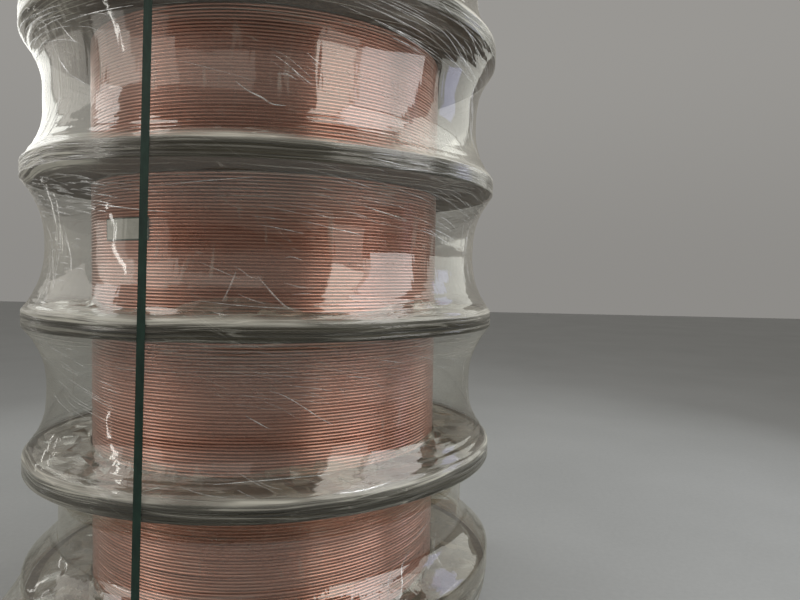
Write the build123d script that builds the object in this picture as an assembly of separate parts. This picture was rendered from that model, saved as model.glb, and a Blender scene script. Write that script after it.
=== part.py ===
from build123d import *
import math
import os

# Stack of level-wound copper tube coils on a wooden pallet.
# Millimetres, +Z up, origin on the floor under the axis of the stack.
# Pallet edges run along X and Y. Fork ways run through along both.

# --- tube and coil -------------------------------------------------------
tube_od = 7.0                    # outside diameter of the wound tube
turns = 42                       # turns side by side in a full layer
layers = 22                      # layers from the bore to the outside
layer_pitch = 6.1                # nested layers sit closer than one diameter
coil_height = tube_od * turns    # 294
coil_r_out = 440.0
coil_r_in = coil_r_out - layers * layer_pitch    # 305.8
turn_groove = 2.0                # depth of the groove between two turns
end_groove = 3.2                 # every other layer ends half a turn short
ring_land = 2.2                  # flat left on each end ring

# --- round boards --------------------------------------------------------
board_r = 585.0
board_t = 19.0
board_edge = 1.2                 # broken edge of the sawn boards

# --- pallet --------------------------------------------------------------
pallet_side = 1000.0
runner_t = 16.0
runner_w = 90.0
block_side = 90.0
block_h = 68.0
stringer_t = 18.0
stringer_w = 90.0
deck_t = 18.0
deck_w = 112.0
deck_count = 7
row_offset = (pallet_side - block_side) / 2.0     # 455
wood_edge = 1.0

# --- stack ---------------------------------------------------------------
tiers = 5
z_runner = 0.0
z_block = z_runner + runner_t
z_stringer = z_block + block_h
z_deck = z_stringer + stringer_t
z_load = z_deck + deck_t                          # 120
tier_pitch = coil_height + 2.0 * board_t          # 332
z_top = z_load + tiers * tier_pitch               # 1780

# --- stretch film --------------------------------------------------------
film_t = 0.8                     # several wound layers together
film_gap = 0.2
film_r = board_r + film_gap      # inside of the film on the rims
film_waist = 48.0                # how far the film draws in between boards
film_low_waist_r = 512.0         # lowest tier is drawn in further
film_lap_r = 512.0               # inner edge of the lap over the top board
film_bottom = 72.0
film_corner = pallet_side / 2.0 + film_gap
film_tent_z = 185.0              # height where the film leaves for the corners

# --- strap ---------------------------------------------------------------
strap_w = 16.0
strap_t = 1.0
strap_x_top = -28.0
strap_x_bottom = -70.0
strap_y_top = 586.8
strap_y_bottom = 584.4

# --- label ---------------------------------------------------------------
label_t = 0.4
label_z0, label_z1 = 957.0, 1005.0
label_a0, label_a1 = -35.6, -16.6    # degrees round from the -Y side

os.makedirs("parts", exist_ok=True)


def revolve_points(points):
    """Full turn about Z of a closed outline given as (r, z)."""
    face = make_face(Plane.XZ * Polyline(*[(r, z) for r, z in points], close=True))
    return revolve(face, axis=Axis.Z, revolution_arc=360)


def coil_section():
    """Outline of the wound section: grooved outside and bore, ringed ends."""
    half = tube_od / 2.0
    pts = []
    # bottom end, from the bore outwards: pairs of layers give one raised ring
    pairs = layers // 2
    pair = 2.0 * layer_pitch
    r0 = coil_r_in
    bottom = []
    for i in range(pairs):
        centre = r0 + pair * (i + 0.5)
        bottom.append((centre - pair * 0.5, end_groove))
        bottom.append((centre - ring_land, 0.0))
        bottom.append((centre + ring_land, 0.0))
    bottom.append((coil_r_out, end_groove))
    # outside, upwards
    outside = []
    for k in range(turns):
        zc = tube_od * (k + 0.5)
        if k > 0:
            outside.append((coil_r_out - turn_groove, zc - half))
        outside.append((coil_r_out, zc))
    # top end, inwards
    top = []
    for i in range(pairs):
        centre = coil_r_out - pair * (i + 0.5)
        top.append((centre + pair * 0.5, coil_height - end_groove))
        top.append((centre + ring_land, coil_height))
        top.append((centre - ring_land, coil_height))
    top.append((coil_r_in, coil_height - end_groove))
    # bore, downwards
    bore = []
    for k in reversed(range(turns)):
        zc = tube_od * (k + 0.5)
        bore.append((coil_r_in, zc))
        if k > 0:
            bore.append((coil_r_in + turn_groove, zc - half))
    pts = bottom + outside + top + bore
    clean = [pts[0]]
    for p in pts[1:]:
        if math.dist(p, clean[-1]) > 0.05:
            clean.append(p)
    if math.dist(clean[0], clean[-1]) < 0.05:
        clean.pop()
    return clean


def board(z):
    disc = Pos(0, 0, z + board_t / 2.0) * Cylinder(board_r, board_t)
    return chamfer(disc.edges().filter_by(GeomType.CIRCLE), board_edge)


def plank(cx, cy, z, lx, ly, t):
    box = Pos(cx, cy, z + t / 2.0) * Box(lx, ly, t)
    return chamfer(box.edges(), wood_edge)


# --- coils and boards ----------------------------------------------------
coil_outline = coil_section()
coil_shape = revolve_points(coil_outline)
for n in range(tiers):
    z0 = z_load + n * tier_pitch
    export_step(board(z0), f"parts/bottom_board_{n + 1}.step")
    export_step(Pos(0, 0, z0 + board_t) * coil_shape, f"parts/coil_{n + 1}.step")
    export_step(board(z0 + board_t + coil_height), f"parts/top_board_{n + 1}.step")

# --- pallet --------------------------------------------------------------
rows = (-row_offset, 0.0, row_offset)
runners = [plank(x, 0, z_runner, runner_w, pallet_side, runner_t) for x in rows]
export_step(Compound(children=runners), "parts/bottom_runners.step")
blocks = [plank(x, y, z_block, block_side, block_side, block_h) for x in rows for y in rows]
export_step(Compound(children=blocks), "parts/pallet_blocks.step")
stringers = [plank(x, 0, z_stringer, stringer_w, pallet_side, stringer_t) for x in rows]
export_step(Compound(children=stringers), "parts/stringer_boards.step")
deck_step = (pallet_side - deck_w) / (deck_count - 1)
decks = [
    plank(0, -pallet_side / 2.0 + deck_w / 2.0 + i * deck_step, z_deck, pallet_side, deck_w, deck_t)
    for i in range(deck_count)
]
export_step(Compound(children=decks), "parts/deck_boards.step")


# --- stretch film --------------------------------------------------------
def waist(z_low, z_high, depth, steps=10):
    """Film between two rims, upwards, drawn in by depth in the middle."""
    out = []
    for i in range(1, steps):
        s = -1.0 + 2.0 * i / steps
        out.append((film_r - depth * (1.0 - abs(s) ** 2.5), z_low + (z_high - z_low) * i / steps))
    return out


def film_profile():
    """Inside of the film as (r, z) from the bottom edge up to the top rim."""
    pts = [(film_r, film_bottom), (film_r, 200.0)]
    pts += [
        (film_low_waist_r + 60.0, 215.0),
        (film_low_waist_r + 36.0, 235.0),
        (film_low_waist_r + 13.0, 250.0),
        (film_low_waist_r, 266.0),
        (film_low_waist_r, 350.0),
        (film_low_waist_r + 4.0, 370.0),
        (film_low_waist_r + 16.0, 390.0),
        (film_low_waist_r + 37.0, 410.0),
        (film_low_waist_r + 60.0, 425.0),
    ]
    for n in range(1, tiers):
        rim0 = z_load + n * tier_pitch - board_t
        rim1 = rim0 + 2.0 * board_t
        pts += [(film_r, rim0), (film_r, rim1)]
        pts += waist(rim1, rim1 + coil_height, film_waist)
    pts += [(film_r, z_top - board_t), (film_r, z_top + film_gap)]
    return pts


def corner_tent(quarter, grow, low):
    """Body under the film where it is pulled out over one corner of the deck."""
    ang = math.pi / 4.0 + quarter * math.pi / 2.0
    reach = (film_corner + grow) * math.sqrt(2.0)
    r = film_r - 3.0 + grow
    a = math.acos(r / reach)
    high = z_load + film_gap + grow
    ridge = high + (film_tent_z - z_load) * (reach - r * math.cos(a)) / (reach - r)

    def at(radius, angle, z):
        return (radius * math.cos(ang + angle), radius * math.sin(ang + angle), z)

    t0, t1, tip = at(r, -a, low), at(r, a, low), at(reach, 0.0, low)
    h0, h1, top = at(r, -a, high), at(r, a, high), at(reach, 0.0, high)
    back = at(r * math.cos(a), 0.0, ridge)
    outlines = [
        (t0, tip, t1),
        (t0, tip, top, h0),
        (tip, t1, h1, top),
        (h0, top, back),
        (top, h1, back),
        (t0, h0, back, h1, t1),
    ]
    faces = [Face(Wire.make_polygon([Vector(*p) for p in o], close=True)) for o in outlines]
    return Solid(Shell(faces))


inside = film_profile()
outside = [(r + film_t, z) for r, z in inside]
outside[-1] = (film_r + film_t, z_top + film_gap + film_t)
wall = revolve_points(
    inside + [(film_lap_r, z_top + film_gap), (film_lap_r, z_top + film_gap + film_t)]
    + outside[::-1]
)
core = Pos(0, 0, 160.0) * Cylinder(film_r + 0.5 * film_t, 300.0)
film = wall
for q in range(4):
    film += corner_tent(q, film_t, film_bottom) - core
for q in range(4):
    film -= corner_tent(q, 0.0, film_bottom - 20.0)
# the film is gathered under the strap where the strap turns in below
for side in (-1, 1):
    film -= Pos(strap_x_bottom, side * (film_r - 10.0), (film_bottom + z_load) / 2.0 - 3.0) * Box(
        strap_w + 10.0, 60.0, z_load - film_bottom + 4.0
    )
export_step(film, "parts/stretch_film.step")

# --- strap ---------------------------------------------------------------
# One closed loop: down the front, under the deck, up the back, over the top.
lean = (strap_x_top - strap_x_bottom) / (z_top - z_deck)
z_over = z_top + film_gap + film_t + 0.3
z_under = z_deck - 0.6
edge_y = pallet_side / 2.0 + 1.2
loop_in = [
    (-edge_y, z_under),
    (-strap_y_bottom, z_load - 1.0),
    (-strap_y_top, z_over),
    (strap_y_top, z_over),
    (strap_y_bottom, z_load - 1.0),
    (edge_y, z_under),
]
loop_out = [
    (-edge_y - 0.2, z_under - strap_t),
    (-strap_y_bottom - strap_t, z_load - 1.6),
    (-strap_y_top - strap_t, z_over + strap_t),
    (strap_y_top + strap_t, z_over + strap_t),
    (strap_y_bottom + strap_t, z_load - 1.6),
    (edge_y + 0.2, z_under - strap_t),
]


def strap_face(points):
    """Outline on the leaning middle plane of the strap."""
    return [
        (strap_x_bottom - strap_w / 2.0 + lean * (z - z_deck), y, z) for y, z in points
    ]


ring = make_face(Polyline(*strap_face(loop_out), close=True)) - make_face(
    Polyline(*strap_face(loop_in), close=True)
)
strap = extrude(ring, amount=strap_w, dir=(1, 0, 0))
export_step(strap, "parts/strap.step")

# --- label ---------------------------------------------------------------
label_r = coil_r_out + 0.3


def on_side(radius, degrees):
    a = math.radians(degrees)
    return (radius * math.sin(a), -radius * math.cos(a))


mid = (label_a0 + label_a1) / 2.0
label_outline = (
    ThreePointArc(on_side(label_r, label_a0), on_side(label_r, mid), on_side(label_r, label_a1))
    + Line(on_side(label_r, label_a1), on_side(label_r + label_t, label_a1))
    + ThreePointArc(
        on_side(label_r + label_t, label_a1),
        on_side(label_r + label_t, mid),
        on_side(label_r + label_t, label_a0),
    )
    + Line(on_side(label_r + label_t, label_a0), on_side(label_r, label_a0))
)
label = Pos(0, 0, label_z0) * extrude(make_face(label_outline), amount=label_z1 - label_z0)
export_step(label, "parts/label.step")
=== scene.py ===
import bpy
import math
import numpy as np
from mathutils import Matrix, Vector


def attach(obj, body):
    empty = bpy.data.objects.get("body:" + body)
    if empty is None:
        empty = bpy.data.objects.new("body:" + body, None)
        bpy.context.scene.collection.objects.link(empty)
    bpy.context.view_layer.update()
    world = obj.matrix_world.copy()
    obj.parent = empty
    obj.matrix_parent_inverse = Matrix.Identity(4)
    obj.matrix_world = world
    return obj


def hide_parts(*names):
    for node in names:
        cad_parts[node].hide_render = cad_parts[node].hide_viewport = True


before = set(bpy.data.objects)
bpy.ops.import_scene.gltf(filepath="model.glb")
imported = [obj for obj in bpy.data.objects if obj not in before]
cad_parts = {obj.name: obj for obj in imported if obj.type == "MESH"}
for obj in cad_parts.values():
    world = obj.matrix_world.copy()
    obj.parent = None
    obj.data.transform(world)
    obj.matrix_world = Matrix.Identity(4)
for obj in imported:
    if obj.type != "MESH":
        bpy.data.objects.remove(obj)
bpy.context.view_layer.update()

# ------------------------------------------------------------------ sizes (m)
TIERS = 5
BOARD_R, BOARD_T = 0.585, 0.019
COIL_R, COIL_IN, COIL_H = 0.440, 0.3058, 0.294
TUBE, TURNS, LAYERS = 0.007, 42, 22
Z_LOAD, PITCH = 0.120, 0.332
Z_TOP = Z_LOAD + TIERS * PITCH
FILM_R = 0.5853
CAM_AZ = math.radians(18.0)
STRAP_X0, STRAP_X1 = -0.070, -0.028
PALLET = 0.500


# ------------------------------------------------------------------ mesh help
def new_mesh(name, verts, faces, smooth=True):
    me = bpy.data.meshes.new(name)
    me.from_pydata([tuple(v) for v in verts], [], [tuple(f) for f in faces])
    me.update()
    if smooth:
        me.polygons.foreach_set("use_smooth", [True] * len(me.polygons))
    ob = bpy.data.objects.new(name, me)
    bpy.context.scene.collection.objects.link(ob)
    return ob


def grid(name, pts, wrap_cols=True, wrap_rows=False, flip=False):
    """pts: rows x cols x 3. Quads between neighbours."""
    rows, cols, _ = pts.shape
    verts = pts.reshape(-1, 3)
    r = np.arange(rows if wrap_rows else rows - 1)
    c = np.arange(cols if wrap_cols else cols - 1)
    rr, cc = np.meshgrid(r, c, indexing="ij")
    r2, c2 = (rr + 1) % rows, (cc + 1) % cols
    a, b = rr * cols + cc, rr * cols + c2
    d, e = r2 * cols + c2, r2 * cols + cc
    quads = np.stack([a, b, d, e] if not flip else [a, e, d, b], axis=-1).reshape(-1, 4)
    me = bpy.data.meshes.new(name)
    me.vertices.add(len(verts))
    me.vertices.foreach_set("co", verts.astype(np.float32).ravel())
    me.loops.add(quads.size)
    me.loops.foreach_set("vertex_index", quads.astype(np.int32).ravel())
    me.polygons.add(len(quads))
    me.polygons.foreach_set("loop_start", np.arange(0, quads.size, 4, dtype=np.int32))
    me.polygons.foreach_set("use_smooth", np.ones(len(quads), dtype=bool))
    me.update(calc_edges=True)
    me.validate()
    ob = bpy.data.objects.new(name, me)
    bpy.context.scene.collection.objects.link(ob)
    return ob


def waves(phi, z, seed, count, m_max, lam_lo, lam_hi, slope=0.0):
    """Sum of waves, periodic round the stack. phi and z broadcast."""
    rng = np.random.default_rng(seed)
    out = np.zeros(np.broadcast(phi, z).shape)
    for _ in range(count):
        m = int(rng.integers(-m_max, m_max + 1))
        lam = float(rng.uniform(lam_lo, lam_hi))
        ph = float(rng.uniform(0, 2 * math.pi))
        out += np.cos(m * phi + 2 * math.pi * z / lam + ph)
    return out / math.sqrt(max(count, 1))


def ring_noise(phi, seed, lo, hi):
    """Periodic noise round the stack with whole frequencies lo..hi."""
    rng = np.random.default_rng(seed)
    out = np.zeros_like(phi, dtype=float)
    total = 0.0
    for m in range(lo, hi + 1):
        a = float(rng.normal())
        out += a * np.cos(m * phi + float(rng.uniform(0, 2 * math.pi)))
        total += 1.0
    return out / math.sqrt(max(total, 1.0))


def smooth01(x):
    x = np.clip(x, 0.0, 1.0)
    return x * x * (3 - 2 * x)


def around(phi, r, z):
    """Azimuth phi counted from the -Y side towards +X."""
    return np.stack([r * np.sin(phi), -r * np.cos(phi), z + 0 * r], axis=-1)


# ------------------------------------------------------------------ node help
class Mat:
    """A small helper for building node materials."""

    def __init__(self, name):
        self.mat = bpy.data.materials.new(name)
        self.mat.use_nodes = True
        self.nt = self.mat.node_tree
        self.nt.nodes.clear()
        self.out = self.nt.nodes.new("ShaderNodeOutputMaterial")

    def node(self, kind, **props):
        n = self.nt.nodes.new(kind)
        for k, v in props.items():
            setattr(n, k, v)
        return n

    def link(self, a, b):
        self.nt.links.new(a, b)

    def put(self, socket, value):
        if isinstance(value, bpy.types.NodeSocket):
            self.link(value, socket)
        else:
            socket.default_value = value

    def coord(self):
        return self.node("ShaderNodeTexCoord").outputs["Object"]

    def xyz(self, vec):
        s = self.node("ShaderNodeSeparateXYZ")
        self.put(s.inputs[0], vec)
        return s.outputs[0], s.outputs[1], s.outputs[2]

    def vec(self, x, y, z):
        c = self.node("ShaderNodeCombineXYZ")
        self.put(c.inputs[0], x)
        self.put(c.inputs[1], y)
        self.put(c.inputs[2], z)
        return c.outputs[0]

    def math(self, op, a, b=None, c=None, clamp=False):
        n = self.node("ShaderNodeMath", operation=op, use_clamp=clamp)
        self.put(n.inputs[0], a)
        if b is not None:
            self.put(n.inputs[1], b)
        if c is not None:
            self.put(n.inputs[2], c)
        return n.outputs[0]

    def scale(self, vec, s):
        n = self.node("ShaderNodeVectorMath", operation="MULTIPLY")
        self.put(n.inputs[0], vec)
        n.inputs[1].default_value = s
        return n.outputs[0]

    def vadd(self, a, b):
        n = self.node("ShaderNodeVectorMath", operation="ADD")
        self.put(n.inputs[0], a)
        self.put(n.inputs[1], b)
        return n.outputs[0]

    def noise(self, vec, scale=1.0, detail=2.0, rough=0.5, distortion=0.0, dims="3D"):
        n = self.node("ShaderNodeTexNoise", noise_dimensions=dims)
        self.put(n.inputs["Vector"], vec)
        n.inputs["Scale"].default_value = scale
        n.inputs["Detail"].default_value = detail
        n.inputs["Roughness"].default_value = rough
        n.inputs["Distortion"].default_value = distortion
        return n.outputs["Fac"]

    def voronoi(self, vec, scale=1.0, feature="F1", out="Distance"):
        n = self.node("ShaderNodeTexVoronoi", feature=feature)
        self.put(n.inputs["Vector"], vec)
        n.inputs["Scale"].default_value = scale
        return n.outputs[out]

    def remap(self, v, a, b, c=0.0, d=1.0, smooth=False):
        n = self.node("ShaderNodeMapRange")
        n.interpolation_type = "SMOOTHSTEP" if smooth else "LINEAR"
        self.put(n.inputs["Value"], v)
        n.inputs["From Min"].default_value = a
        n.inputs["From Max"].default_value = b
        n.inputs["To Min"].default_value = c
        n.inputs["To Max"].default_value = d
        return n.outputs[0]

    def ramp(self, v, stops):
        n = self.node("ShaderNodeValToRGB")
        el = n.color_ramp.elements
        while len(el) > 1:
            el.remove(el[-1])
        el[0].position = stops[0][0]
        el[0].color = (*stops[0][1], 1)
        for p, c in stops[1:]:
            e = el.new(p)
            e.color = (*c, 1)
        self.put(n.inputs[0], v)
        return n.outputs[0]

    def mix(self, fac, a, b, blend="MIX"):
        n = self.node("ShaderNodeMix", data_type="RGBA", blend_type=blend)
        self.put(n.inputs[0], fac)
        for i, v in ((6, a), (7, b)):
            if isinstance(v, bpy.types.NodeSocket):
                self.link(v, n.inputs[i])
            else:
                n.inputs[i].default_value = (*v, 1)
        return n.outputs[2]

    def bump(self, height, strength=1.0, distance=0.001, normal=None):
        n = self.node("ShaderNodeBump")
        n.inputs["Strength"].default_value = strength
        n.inputs["Distance"].default_value = distance
        self.put(n.inputs["Height"], height)
        if normal is not None:
            self.put(n.inputs["Normal"], normal)
        return n.outputs[0]

    def principled(self, color, rough, metallic=0.0, normal=None, spec=0.5, **kw):
        n = self.node("ShaderNodeBsdfPrincipled")
        if isinstance(color, bpy.types.NodeSocket):
            self.link(color, n.inputs["Base Color"])
        else:
            n.inputs["Base Color"].default_value = (*color, 1)
        self.put(n.inputs["Roughness"], rough)
        n.inputs["Metallic"].default_value = metallic
        n.inputs["Specular IOR Level"].default_value = spec
        for k, v in kw.items():
            n.inputs[k].default_value = v
        if normal is not None:
            self.link(normal, n.inputs["Normal"])
        return n.outputs[0]

    def mix_shader(self, fac, a, b):
        n = self.node("ShaderNodeMixShader")
        self.put(n.inputs[0], fac)
        self.link(a, n.inputs[1])
        self.link(b, n.inputs[2])
        return n.outputs[0]

    def done(self, shader):
        self.link(shader, self.out.inputs["Surface"])
        return self.mat


# ------------------------------------------------------------------ materials
def copper_material():
    m = Mat("copper_tube")
    p = m.coord()
    x, y, z = m.xyz(p)
    # height above the coil's foot, then place across one turn: 0 in the groove, 1 on the crown
    up = m.math("SUBTRACT", m.math("MULTIPLY", m.math("FRACT", m.math("DIVIDE", m.math("SUBTRACT", z, Z_LOAD), PITCH)), PITCH), BOARD_T)
    turn = m.math("FRACT", m.math("DIVIDE", up, TUBE))
    crown = m.math("SUBTRACT", 1.0, m.math("ABSOLUTE", m.math("SUBTRACT", m.math("MULTIPLY", turn, 2.0), 1.0)))
    # long streaks round the coil, one shade for each turn and patches of dulling
    along = m.noise(m.vec(m.math("MULTIPLY", x, 5.0), m.math("MULTIPLY", y, 5.0), m.math("MULTIPLY", z, 143.0)), 1.0, 3.0, 0.6)
    patch = m.noise(m.scale(p, (3.5, 3.5, 7.0)), 1.0, 3.0, 0.55)
    fine = m.noise(m.scale(p, (60.0, 60.0, 900.0)), 1.0, 3.0, 0.6)
    tone = m.math("ADD", m.math("MULTIPLY", along, 0.6), m.math("MULTIPLY", patch, 0.4))
    col = m.ramp(tone, [(0.30, (0.52, 0.225, 0.155)), (0.50, (0.69, 0.315, 0.225)), (0.72, (0.82, 0.420, 0.315))])
    dull = m.remap(patch, 0.52, 0.72, 0.0, 0.35, True)
    col = m.mix(dull, col, (0.36, 0.19, 0.13))
    # painted shade: the colour is darkened towards dark red-brown in the grooves between turns, standing in for their
    # shadow; the grooves are also made rougher
    groove_shade = m.remap(crown, 0.08, 0.40, 0.60, 0.0, True)
    col = m.mix(groove_shade, col, (0.200, 0.062, 0.036))
    rough = m.math("ADD", 0.22, m.math("MULTIPLY", fine, 0.12))
    rough = m.math("ADD", rough, m.math("MULTIPLY", dull, 0.30))
    rough = m.math("ADD", rough, m.math("MULTIPLY", groove_shade, 0.35))
    nrm = m.bump(fine, 0.14, 0.0004)
    kw = {"Coat Weight": 0.50, "Coat Roughness": 0.05, "Coat IOR": 1.9}
    return m.done(m.principled(col, rough, 1.0, nrm, **kw))


def board_material():
    m = Mat("round_board")
    p = m.coord()
    x, y, z = m.xyz(p)
    chips = m.noise(m.scale(p, (160.0, 160.0, 420.0)), 1.0, 4.0, 0.62)
    cloud = m.noise(m.scale(p, (4.0, 4.0, 8.0)), 1.0, 3.0, 0.5)
    specks = m.voronoi(m.scale(p, (210.0, 210.0, 500.0)), 1.0)
    ply = m.noise(m.vec(m.math("MULTIPLY", x, 3.0), m.math("MULTIPLY", y, 3.0), m.math("MULTIPLY", z, 520.0)), 1.0, 2.0, 0.5)
    tone = m.math("ADD", m.math("MULTIPLY", chips, 0.55), m.math("MULTIPLY", cloud, 0.45))
    col = m.ramp(tone, [(0.32, (0.044, 0.030, 0.019)), (0.50, (0.094, 0.068, 0.044)), (0.68, (0.175, 0.130, 0.084))])
    col = m.mix(m.remap(specks, 0.0, 0.25, 0.45, 0.0), col, (0.040, 0.030, 0.020))
    # pressed chips a few millimetres long, some paler and some darker
    bent = m.noise(m.scale(p, (30.0, 30.0, 30.0)), 1.0, 1.0, 0.5)
    q = m.vadd(m.scale(p, (170.0, 170.0, 420.0)), m.vec(m.math("MULTIPLY", bent, 3.0), m.math("MULTIPLY", bent, -2.0), 0.0))
    chip = m.xyz(m.voronoi(q, 1.0, "F1", "Color"))[0]
    col = m.mix(m.remap(chip, 0.58, 0.98, 0.0, 0.42, True), col, (0.215, 0.160, 0.105))
    col = m.mix(m.remap(chip, 0.40, 0.05, 0.0, 0.34, True), col, (0.034, 0.023, 0.015))
    stain = m.noise(m.scale(p, (2.2, 2.2, 3.0)), 1.0, 5.0, 0.65)
    col = m.mix(m.remap(stain, 0.52, 0.74, 0.0, 0.45, True), col, (0.050, 0.036, 0.024))
    r = m.math("SQRT", m.math("ADD", m.math("MULTIPLY", x, x), m.math("MULTIPLY", y, y)))
    rim = m.remap(r, 0.5825, 0.5842, 0.0, 1.0)
    edge = m.mix(m.remap(ply, 0.35, 0.65, 0.0, 1.0), (0.012, 0.011, 0.007), (0.070, 0.060, 0.036))
    col = m.mix(rim, col, edge)
    height = m.math("ADD", m.math("MULTIPLY", chips, 0.7), m.math("MULTIPLY", ply, m.math("MULTIPLY", rim, 0.8)))
    nrm = m.bump(height, 0.5, 0.0012)
    return m.done(m.principled(col, m.math("ADD", 0.50, m.math("MULTIPLY", chips, 0.25)), 0.0, nrm, 0.35))


def wood_material(name, axis, light, dark):
    m = Mat(name)
    p = m.coord()
    x, y, z = m.xyz(p)
    lo, la = (x, y) if axis == "x" else (y, x)
    board = m.noise(m.vec(m.math("MULTIPLY", la, 6.5), 0.0, m.math("MULTIPLY", z, 12.0)), 1.0, 0.0)
    warp = m.noise(m.vec(m.math("MULTIPLY", lo, 2.2), m.math("MULTIPLY", la, 16.0), m.math("MULTIPLY", z, 18.0)), 1.0, 3.0, 0.55)
    g = m.vec(m.math("MULTIPLY", lo, 4.0), m.math("ADD", m.math("MULTIPLY", la, 130.0), m.math("MULTIPLY", warp, 14.0)), m.math("ADD", m.math("MULTIPLY", z, 130.0), m.math("MULTIPLY", warp, 9.0)))
    grain = m.noise(g, 1.0, 5.0, 0.62)
    fibre = m.noise(m.vec(m.math("MULTIPLY", lo, 30.0), m.math("MULTIPLY", la, 900.0), m.math("MULTIPLY", z, 900.0)), 1.0, 2.0, 0.5)
    knot = m.voronoi(m.vec(m.math("MULTIPLY", lo, 3.1), m.math("MULTIPLY", la, 9.0), m.math("MULTIPLY", z, 9.0)), 1.0)
    tone = m.math("ADD", m.math("MULTIPLY", grain, 0.8), m.math("MULTIPLY", board, 0.3))
    col = m.ramp(tone, [(0.36, dark), (0.56, tuple((a + b) / 2 for a, b in zip(dark, light))), (0.74, light)])
    col = m.mix(m.remap(knot, 0.05, 0.16, 0.75, 0.0, True), col, (0.09, 0.045, 0.022))
    grime = m.noise(m.scale(p, (7.0, 7.0, 20.0)), 1.0, 4.0, 0.6)
    col = m.mix(m.remap(grime, 0.5, 0.75, 0.0, 0.45, True), col, (0.12, 0.10, 0.075))
    height = m.math("ADD", grain, m.math("MULTIPLY", fibre, 0.6))
    nrm = m.bump(height, 0.55, 0.0016)
    return m.done(m.principled(col, m.math("ADD", 0.62, m.math("MULTIPLY", fibre, 0.25)), 0.0, nrm, 0.3))


def tier_height(m, z):
    """0 at a rim, 1 in the middle between two rims, repeated for each tier."""
    t = m.math("FRACT", m.math("DIVIDE", m.math("SUBTRACT", z, Z_LOAD), PITCH))
    return m.math("SUBTRACT", 1.0, m.math("ABSOLUTE", m.math("SUBTRACT", m.math("MULTIPLY", t, 2.0), 1.0)))


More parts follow.
